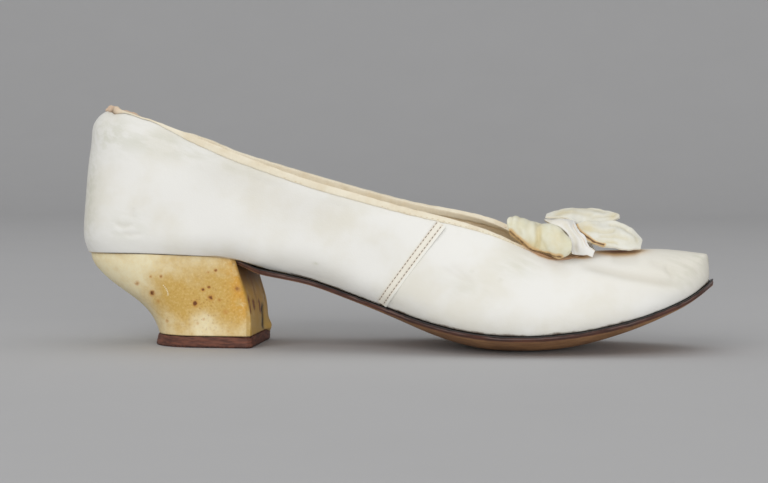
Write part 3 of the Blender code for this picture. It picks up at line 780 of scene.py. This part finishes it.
def makeUpper(tape, sole):
    upper = copyNode("upper", "kidUpper")
    soften(upper, upperLook["levels"], 50, 0.9)
    way = outwardOf(getPoints(upper), getPoints(upper, "normal"))
    outside = [all(way[i] > 0 for i in face.vertices) for face in upper.data.polygons]
    for face, wanted in zip(upper.data.polygons, outside):
        face.material_index = 0 if wanted else 1
    subdivideFaces(upper, outside)

    points = raiseCollar(getPoints(upper))
    normals = getPoints(upper, "normal")
    along, side, height = shoeSizes(points)
    way = outwardOf(points, normals)
    collar = distanceTo(points, tape)
    gap = distanceTo(points, sole)
    calm = smooth(collar, 1.0, 4.0) * smooth(gap, 0.8, 3.0)  # nothing moves at the sewn edges
    waves = np.sin(along * 0.23 + height * 0.11) + np.sin(along * 0.11 - height * 0.27 + 1)
    move = upperLook["unevenness"] * waves
    fold = np.zeros(len(points))
    for line, width, deep, ridge, sides in upperLook["creases"]:
        for s in sides:
            reach, sign, share = nearLine(along, height, line)
            taper = smooth(share, -0.02, 0.2) * smooth(share, 1.02, 0.75) * smooth(side * s, 0.0, 2.0)
            trough = bell(reach, width) * taper
            crest = bell(reach * -sign - 2.0 * width, 1.3 * width) * taper
            move += ridge * crest - deep * trough
            # the crease troughs are also painted darker, as shade
            fold = np.maximum(fold, trough * min(deep, 0.5))
    points = points + normals * (way * move * calm * mm)[:, None]
    pinch = upperLook["pinch"]
    away = np.sqrt((along - pinch["along"]) ** 2 + side ** 2 + (height - pinch["height"]) ** 2)
    tip = bell(away, pinch["reach"])
    points[:, 0] += tip * pinch["out"] * mm
    points[:, 2] += tip * pinch["up"] * mm
    setPoints(upper, points)
    grey = np.zeros(len(points))
    for *oval, strength, sides in upperLook["smears"]:
        for s in sides:
            smear = strength * patch(along, height, *oval) * smooth(side * s, -4, 2)
            grey = np.maximum(grey, smear)
    # painted shadow below the bow and along the bottom of its near loop
    paintedShadow = np.zeros(len(points))
    for *oval, strength in upperLook["paintedShadows"]:
        paintedShadow = np.maximum(paintedShadow, strength * patch(along, height, *oval) * smooth(side, -0.5, -3.5))
    reach, sign, share = nearLine(along, height, upperLook["paintedShadowLine"])
    streak = upperLook["paintedShadowShare"] * bell(reach, upperLook["paintedShadowWide"])
    streak = streak * smooth(share, 0, 0.2) * smooth(share, 1, 0.75)
    paintedShadow = np.maximum(paintedShadow, streak * smooth(side, 0, -4))
    paint(upper, "grey", np.clip(grey, 0, 1))
    paint(upper, "paintedShadow", np.clip(paintedShadow, 0, 1))
    paint(upper, "fold", np.clip(fold * 0.8, 0, 0.5))
    paint(upper, "toeTint", smooth(along, 176, 228) * smooth(height, 18, 30) * 0.85)
    paint(upper, "soleGap", gap)
    finishPiece(upper, ["upper"], "kid", kidFinish(), liningFinish())
    return upper


# binding

tapeLook = {
    "levels": 2, "gap": 0.04, "thin": 0.62,
    "narrow": [(20, 0.4), (32, 0.5), (46, 1.0)],  # share of its width at a place along the shoe
    "wornFrom": 22.0, "hole": (15.4, 87.9, 1.2, 1.2),  # the hole's along, height, radii
    "lump": 0.5, "lumpWave": 0.22,                # thickness added where it is worn
    "ripples": [(0.05, 0.9, 0), (0.04, 2.3, 1)],  # depth, pace along, start
    "stitchFrom": 46.0, "stitchTo": 172.0, "stitchStep": 2.1, "stitchRise": 0.6, "stitch": (1.0, 0.28, 0.2),
    "tones": {
        "cream": (238, 230, 209), "shade": (227, 214, 187), "worn": (222, 192, 164), "hole": (120, 95, 72),
        "paintedShadow": (168, 118, 70), "thread": (230, 216, 188), "threadShade": (214, 196, 164),
    },
}


def tapeFinish():
    material, wire, shader, place, tones = newFinish("creamTape", tapeLook)
    cloud = grainOf(place, 9, 4)
    ribs = wire.node("ShaderNodeTexWave", {"bands_direction": "X"},
                     {"Vector": place, "Scale": 1 / (4.4 * mm), "Distortion": 1.5, "Detail": 2})
    colour = blendColour(ease(cloud, 0.35, 0.7), tones["cream"], tones["shade"])
    worn = painted(wire, "worn") * ease(grainOf(place, 2.2), 0.3, 0.6, (0.5, 1))
    colour = blendColour(worn, colour, tones["worn"])
    colour = blendColour(painted(wire, "hole"), colour, tones["hole"])
    # painted shadow below the bow's near loop
    colour = blendColour(painted(wire, "paintedShadow"), colour, tones["paintedShadow"])
    connect(colour, shader, "Base Color")
    shader.inputs["Roughness"].default_value = 0.72
    connect(bumpOf(ribs + grainOf(place, 0.5), 0.05, 0.7), shader, "Normal")
    return material


def makeTape():
    tape = copyNode("topline_binding", "creamTape")
    soften(tape, tapeLook["levels"], 50, 0.6)
    points = getPoints(tape)
    along, side, height = shoeSizes(points)
    for way in (-1, 1):  # it narrows towards the back
        rows = np.arange(14.0, 60.0, 3.0)
        level = []
        for row in rows:
            here = (np.abs(along - row) < 4) & (side * way > 0)
            level.append(np.max((height + 0.42 * (along - row))[here]))
        below = np.interp(along, rows, level) - height
        narrow = 1 - np.interp(along, *zip(*tapeLook["narrow"]))
        points[:, 2] += below * narrow * (side * way > 0) * smooth(along, 16, 22) * mm
    setPoints(tape, points)
    settle(tape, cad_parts["upper"], tapeLook["gap"], tapeLook["thin"])
    setPoints(tape, raiseCollar(getPoints(tape)))
    points, normals, along, side, height = measure(tape)
    worn = smooth(along, tapeLook["wornFrom"], 15.0) * smooth(height, 84.0, 87.0)
    paint(tape, "worn", worn)
    paint(tape, "hole", 0.9 * patch(along, height, *tapeLook["hole"]) * smooth(side, 2, -2))
    # painted shadow on the near tape, below the bow's near loop
    paint(tape, "paintedShadow", smooth(along, 166, 174) * smooth(side, 4, -4) * 0.8)
    waves = np.sin(along * 1.5 + side * 0.7) + np.sin(along * 1.1 - side * 0.9)
    lumps = tapeLook["lump"] + tapeLook["lumpWave"] * waves
    ripple = sum(deep * np.sin(along * pace + start) for deep, pace, start in tapeLook["ripples"])
    setPoints(tape, points + normals * ((lumps * worn + ripple) * mm)[:, None])
    finishPiece(tape, ["topline_binding"], "binding", tapeFinish())
    return tape


# sewing

def threadFinish(name, look):
    material, wire, shader, place, tones = newFinish(name, look)
    strand = wire.node("ShaderNodeTexWave", {"bands_direction": "DIAGONAL"},
                       {"Vector": place, "Scale": 1 / (1.6 * mm)})
    colour = blendColour(grainOf(place, 3, 3), tones["thread"], tones["threadShade"])
    connect(colour, shader, "Base Color")
    shader.inputs["Roughness"].default_value = 0.8
    connect(bumpOf(strand, 0.03, 0.6), shader, "Normal")
    return material


def sewRow(name, places, ups, headings, size, material, slot):
    # one small stitch, copied to every place and joined
    bpy.ops.object.select_all(action="DESELECT")
    bpy.ops.mesh.primitive_uv_sphere_add(segments=6, ring_count=5, radius=0.5)
    stitch = bpy.context.object
    bpy.ops.object.mode_set(mode="EDIT")
    bpy.ops.transform.resize(value=(size[0] * mm, size[1] * mm, size[2] * mm))
    bpy.ops.object.mode_set(mode="OBJECT")
    shape = getPoints(stitch)
    faces = [tuple(face.vertices) for face in stitch.data.polygons]
    bpy.data.objects.remove(stitch)
    verts, allFaces = [], []
    for place, up, heading in zip(places, ups, headings):
        heading = (heading - up * heading.dot(up)).normalized()
        across = up.cross(heading)
        first = len(verts)
        verts += [place + heading * p[0] + across * p[1] + up * p[2] for p in shape]
        allFaces += [tuple(first + i for i in face) for face in faces]
    mesh = bpy.data.meshes.new(name)
    mesh.from_pydata(verts, [], allFaces)
    row = bpy.data.objects.new(name, mesh)
    bpy.context.collection.objects.link(row)
    workOn(row)
    bpy.ops.object.shade_smooth()
    finishPiece(row, [], slot, material)


def sewAlong(name, path, step, ground, size, material, slot, lift):
    # stitches at even steps along a line, laid on the piece under it
    places = everyStep(path, step * mm)
    laid, ups, headings = [], [], []
    for i, place in enumerate(places):
        found, point, normal, face = ground.closest_point_on_mesh(Vector(place))
        laid.append(point + normal * lift * mm)
        ups.append(normal)
        ahead = places[min(i + 1, len(places) - 1)] - places[max(i - 1, 0)]
        headings.append(Vector(ahead))
    sewRow(name, laid, ups, headings, size, material, slot)


seamLook = {
    "levels": 3,
    "foot": (118.4, 17.9), "head": (138.9, 45.5),  # along and height of its ends
    "rows": (-1.6, 0.5),                           # stitch rows across the strip
    "step": 1.55, "stitch": (1.05, 0.3, 0.22),
    "gap": 0.03, "thin": 0.6,
    "dip": 0.12, "reachUp": 2.3,                   # needle rows go in, its head goes up to the tape
    "tones": {
        "lap": (241, 237, 225), "lapShade": (234, 228, 213), "outer": (239, 237, 228),
        "needle": (206, 192, 174), "thread": (134, 114, 98), "threadShade": (98, 80, 68),
    },
}


def lapFinish():
    material, wire, shader, place, tones = newFinish("seamKid", seamLook)
    cloud = grainOf(place, 6, 4)
    colour = blendColour(cloud, tones["lap"], tones["lapShade"])
    colour = blendColour(painted(wire, "outerLap"), colour, tones["outer"])
    colour = blendColour(painted(wire, "needle"), colour, tones["needle"])
    connect(colour, shader, "Base Color")
    shader.inputs["Roughness"].default_value = 0.55
    connect(bumpOf(grainOf(place, 0.8, 4), 0.05, 0.5), shader, "Normal")
    return material


def makeSeams(upper):
    thread = threadFinish("seamThread", seamLook)
    foot, head = np.array(seamLook["foot"]), np.array(seamLook["head"])
    run = (head - foot) / np.linalg.norm(head - foot)
    across = np.array((run[1], -run[0]))
    lap = lapFinish()
    for label, side in (("near", -1), ("far", 1)):
        strip = copyNode("side_seam_" + label, "seamLap_" + label)
        soften(strip, seamLook["levels"], 40, 0.7)
        points = getPoints(strip)
        along, width, height = shoeSizes(points)
        share = ((along - foot[0]) * run[0] + (height - foot[1]) * run[1]) / np.linalg.norm(head - foot)
        upward = smooth(share, 0.7, 1.0) * seamLook["reachUp"] * mm
        points[:, 0] += upward * run[0]
        points[:, 2] += upward * run[1]
        setPoints(strip, points)
        settle(strip, upper, seamLook["gap"], seamLook["thin"])
        points, normals, along, width, height = measure(strip)
        off = (along - foot[0]) * across[0] + (height - foot[1]) * across[1]
        dip = sum(bell(off - row, 0.3) for row in seamLook["rows"])
        outer = smooth(side * normals[:, 1], 0.2, 0.6)
        setPoints(strip, points - normals * (dip * outer * seamLook["dip"] * mm)[:, None])
        paint(strip, "needle", np.clip(dip * 0.5, 0, 1))
        paint(strip, "outerLap", smooth(off, 0.8, 1.2))
        finishPiece(strip, ["side_seam_" + label], "kid", lap)
        for i, row in enumerate(seamLook["rows"]):
            laid = []
            for t in np.linspace(0.015, 1.045, 42):
                place = foot * (1 - t) + head * t + across * row
                outside = spot(place[0], side * 40, place[1])
                hit, point, normal, face = strip.ray_cast(outside, Vector((0, -side, 0)))
                if hit:
                    laid.append(point)
            sewAlong("seamStitches_%s_%d" % (label, i + 1), laid, seamLook["step"], strip,
                     seamLook["stitch"], thread, "kid", 0.03)


def sewTape(tape):
    # a row just above the lower edge of the tape, on each side of the shoe
    thread = threadFinish("tapeThread", tapeLook)
    along, side, height = shoeSizes(getPoints(tape))
    for label, way in (("near", -1), ("far", 1)):
        path = []
        for place in np.arange(tapeLook["stitchFrom"], tapeLook["stitchTo"], 2.0):
            here = np.nonzero((np.abs(along - place) < 1.6) & (side * way > 8))[0]
            outer = here[np.abs(side[here]) > np.abs(side[here]).max() - 1.2]
            low = outer[np.argmin(height[outer] + 0.3 * (along[outer] - place))]
            edge = height[low] + 0.3 * (along[low] - place)
            path.append(spot(place, side[low], edge + tapeLook["stitchRise"]))
        sewAlong("tapeStitches_" + label, path, tapeLook["stitchStep"], tape,
                 tapeLook["stitch"], thread, "binding", 0.02)


# bow

bowKid = {
    "waves": (0.07, 0.04),         # slow and quick unevenness of its faces
    "ragged": (0.25, 0.16, 0.05),  # unevenness of its cut edges: along, up, up and quick
    "tones": {
        "cream": (229, 227, 207), "creamShade": (221, 217, 189), "pale": (230, 229, 219),
        "paleShade": (223, 220, 204), "white": (238, 237, 233), "whiteShade": (230, 228, 222),
        "yellow": (224, 206, 150), "fold": (212, 201, 164), "tan": (216, 182, 128), "brown": (112, 80, 48),
        "under": (204, 180, 142),
    },
}


def bowFinish(name, light, shade):  # both tones are named in bowKid
    material, wire, shader, place, tones = newFinish(name, bowKid)
    cloud = grainOf(place, 6, 4)
    fine = grainOf(place, 1.8, 4)
    colour = blendColour(ease(cloud, 0.35, 0.68), tones[light], tones[shade])
    yellow = painted(wire, "yellow") * ease(fine + (cloud - 0.5), 0.2, 0.7, (0.4, 1))
    colour = blendColour(yellow, colour, tones["yellow"])
    # painted shade in the creases
    colour = blendColour(painted(wire, "fold"), colour, tones["fold"])
    tan = painted(wire, "margin") + (fine - 0.5) * 0.4
    colour = blendColour(ease(tan, 0.15, 0.85), colour, tones["tan"])
    colour = blendColour(ease(tan, 0.85, 1.1), colour, tones["brown"])
    colour = blendColour(painted(wire, "under") * 0.7, colour, tones["under"])
    connect(colour, shader, "Base Color")
    connect(fine * 0.16 + 0.46, shader, "Roughness")
    pores = grainOf(place, 0.6, 3)
    connect(bumpOf(cloud + fine * 0.5 + pores * 0.4, 0.12, 0.6), shader, "Normal")
    return material


bowLook = {
    # creases and swellings on the side view; a loop's moves go out from the line inside it
    "bow_loop_near": {
        "name": "bowLoop_near", "levels": 3, "kid": "cream", "axis": (-12.0, 42.8),
        "creases": [
            ([(174.2, 50.0), (174.5, 46.0), (175.2, 42.0), (174.4, 38.5)], 0.9, 0.9),
            ([(176.4, 42.0), (178.2, 38.0), (179.4, 35.0)], 0.6, 0.35),
            ([(165.2, 50.0), (164.9, 46.0)], 0.6, 0.35),
            ([(168.2, 50.5), (167.6, 45.5), (169.0, 42.5)], 0.8, 0.40),
            ([(171.6, 49.0), (171.0, 44.5), (172.4, 40.0)], 0.8, 0.25),
            ([(179.4, 47.0), (181.0, 43.0), (181.0, 39.0)], 0.7, 0.18),
            ([(183.4, 44.5), (184.4, 40.5)], 0.6, 0.18),
        ],
        "puffs": [(167.0, 48.0, 3.6, 1.2), (171.0, 44.0, 4.0, 0.5), (181.0, 42.5, 5.0, 1.0)],
        "tugs": [(172.5, 39.0, 5.0, 3.4, -0.3, -1.7)],
        "margin": ([(164.8, 44.4), (166.6, 42.8), (169.5, 41.1), (172.4, 39.7), (176, 37.5), (180, 35.8),
                    (183, 35.5)], 1.25, 1.05),
        "yellow": [(175.0, 42.0, 1.2, 5.0, 0.9), (172.5, 39.5, 4.5, 2.6, 0.8),
                   (181.5, 41.0, 2.4, 4.0, 0.45)],
    },
    "bow_loop_far": {
        "name": "bowLoop_far", "levels": 2, "kid": "cream", "axis": (11.0, 42.6),
        "creases": [
            ([(174.6, 49.0), (175.0, 44.0), (174.6, 39.0)], 0.9, 0.7),
            ([(168.6, 48.0), (168.2, 44.0)], 0.8, 0.35),
            ([(180.0, 46.0), (181.0, 41.0)], 0.8, 0.25),
        ],
        "puffs": [(169.0, 45.0, 4.0, 0.7), (180.0, 42.0, 4.5, 0.8)],
        "tugs": [],
        "margin": ([(166, 42.5), (172, 39.0), (178, 36.5), (183, 36.5)], 1.8, 0.8),
        "yellow": [(174.0, 41.0, 5.0, 3.0, 0.5)],
    },
    "bow_knot": {
        "name": "bowKnot", "levels": 3, "kid": "white",
        "creases": [
            ([(183.5, 47.5), (186.4, 44.0), (188.2, 40.0), (188.8, 36.0)], 0.8, 0.35),
            ([(187.0, 46.6), (189.8, 42.0), (191.8, 37.5)], 0.7, 0.25),
        ],
        "puffs": [(189.8, 39.5, 4.0, 0.6)],
        "tugs": [(180.0, 48.5, 3.0, 1.8, -2.4, 0.0)],
        "margin": ([(188.0, 46.8), (190.0, 43.6), (192.6, 39.4), (195.6, 37.2)], 0.35, 0.5),
        "yellow": [(181.0, 48.0, 4.0, 2.0, 0.3)],
        # ragged toe edge of the near half: height and how far it is cut back
        "trim": [(34.0, 2.6), (35.4, 1.6), (37.4, 0.0), (38.6, 2.0), (40.0, 2.4), (41.6, 1.6), (42.6, 1.4),
                 (43.8, 2.2), (45.2, 2.2), (46.6, 1.6), (47.6, 1.2), (49.0, 0.8)],
        "middle": [(35.5, 191.4), (37.8, 191.0), (41.2, 189.6), (44.8, 187.0), (47.5, 183.0)],
    },
    "bow_tail_near": {
        "name": "bowTail_near", "levels": 3, "kid": "pale",
        "creases": [
            ([(188.5, 45.4), (194.0, 44.2), (199.0, 43.8), (203.0, 44.6)], 0.8, 0.55),
            ([(199.5, 46.4), (204.5, 45.6), (208.0, 43.6)], 0.7, 0.40),
            ([(196.0, 42.4), (202.0, 42.2), (208.0, 41.0)], 0.7, 0.45),
            ([(195.0, 40.8), (199.5, 40.4), (204.0, 39.4)], 0.7, 0.40),
            ([(206.0, 44.8), (209.5, 42.0), (210.5, 39.6)], 0.6, 0.30),
        ],
        "puffs": [(206.0, 43.0, 3.5, 0.6), (197.0, 44.5, 3.0, 0.4)],
        "tugs": [(190.0, 46.5, 3.5, 2.0, -0.6, 1.4), (199.0, 38.4, 5.0, 1.7, 0.0, 0.9)],
        "margin": ([(186.5, 47.0), (189.0, 44.3), (191.8, 42.1), (194.5, 40.0), (198.0, 38.6)], 0.95, 1.12),
        "yellow": [(192.0, 44.6, 2.5, 1.4, 0.6), (201.0, 39.6, 3.0, 1.2, 0.35)],
    },
    "bow_tail_far": {
        "name": "bowTail_far", "levels": 3, "kid": "pale",
        "creases": [
            ([(178.0, 49.8), (183.0, 50.8), (189.0, 50.6), (195.0, 49.4)], 0.7, 0.50),
            ([(185.0, 52.4), (192.0, 51.8), (199.0, 50.4)], 0.7, 0.35),
            ([(193.0, 48.8), (198.0, 49.2), (202.5, 49.4)], 0.6, 0.35),
        ],
        "puffs": [(187.0, 51.0, 3.5, 0.4), (196.0, 48.6, 3.5, 0.4)],
        "tugs": [(189.5, 48.0, 4.0, 1.6, 0.0, -1.8)],
        "margin": ([(176.5, 48.6), (180.0, 48.8), (186.0, 48.0)], 0.5, 0.3),
        "yellow": [(183.0, 50.4, 3.0, 1.2, 0.4), (201.0, 49.0, 2.0, 1.4, 0.5)],
    },
}


def makeBow():
    kids = {
        "cream": bowFinish("bowKid", "cream", "creamShade"),
        "pale": bowFinish("bowTailKid", "pale", "paleShade"),
        "white": bowFinish("bowKnotKid", "white", "whiteShade"),
    }
    for node, look in bowLook.items():
        strip = copyNode(node, look["name"])
        soften(strip, look["levels"], 60, 0.5)
        points = getPoints(strip)
        along, side, height = shoeSizes(points)
        if "axis" in look:
            y, z = side - look["axis"][0], height - look["axis"][1]
            reach = np.maximum(np.hypot(y, z), 0.5)
            out = np.stack((np.zeros(len(points)), y / reach, z / reach), axis=1)
            shown = smooth(y * np.sign(look["axis"][0]), -1.0, 3.0)  # the folded end, not the legs
        else:
            out = np.tile(np.array((0.0, -0.6, 0.8)), (len(points), 1))
            shown = smooth(side, 9.0, 5.0) if node == "bow_knot" else np.ones(len(points))
        slow, quick = bowKid["waves"]
        move = slow * np.sin(along * 0.7 + height * 0.5) + quick * np.sin(along * 1.5 - side * 0.5 + 2)
        fold = np.zeros(len(points))
        for line, width, deep in look["creases"]:
            gap, sign, share = nearLine(along, height, line)
            trough = bell(gap, width) * smooth(share, -0.02, 0.15) * smooth(share, 1.02, 0.85) * shown
            move -= deep * trough
            # the crease troughs are also painted darker, as shade
            fold = np.maximum(fold, trough * min(1.0, deep + 0.2))
        for a, h, size, lift in look["puffs"]:
            move += lift * patch(along, height, a, h, size, size) * shown
        points = points + out * (move * mm)[:, None]
        if "axis" not in look:
            slide, rise, quick = bowKid["ragged"]
            points[:, 0] += slide * np.sin(height * 1.1 + along * 0.3) * mm
            points[:, 2] += (rise * np.sin(along * 0.75 + 1) + quick * np.sin(along * 1.9)) * mm
        for *oval, slide, rise in look["tugs"]:
            pull = patch(along, height, *oval)
            points[:, 0] += pull * slide * mm
            points[:, 2] += pull * rise * mm
        if "trim" in look:
            middle = np.interp(height, *zip(*look["middle"]))
            cut = np.interp(height, *zip(*look["trim"]))
            points[:, 0] -= cut * np.clip((along - middle) / 4.6, 0, 1.1) * smooth(side, 0, -4) * mm
        setPoints(strip, points)
        line, width, strength = look["margin"]
        gap, sign, share = nearLine(along, height, line)
        paint(strip, "margin", strength * bell(gap, width) * shown)
        yellow = np.zeros(len(points))
        for *oval, strength in look["yellow"]:
            yellow = np.maximum(yellow, strength * patch(along, height, *oval))
        paint(strip, "yellow", yellow)
        paint(strip, "fold", np.clip(fold * 0.6, 0, 0.7))
        paint(strip, "under", smooth(np.sum(getPoints(strip, "normal") * out, axis=1), 0.0, -0.5))
        finishPiece(strip, [node], "bow", kids[look["kid"]])


makeCamera()
makeFloor()
makeLights()
print("stage: camera, floor and light")
sole = makeSole()
makeInsole()
makeCover()
makeTopPiece()
makeBlock()
print("stage: sole and heel")
tape = makeTape()
upper = makeUpper(tape, sole)
print("stage: upper and binding")
sewTape(tape)
makeSeams(upper)
print("stage: sewing")
makeBow()
print("stage: bow")
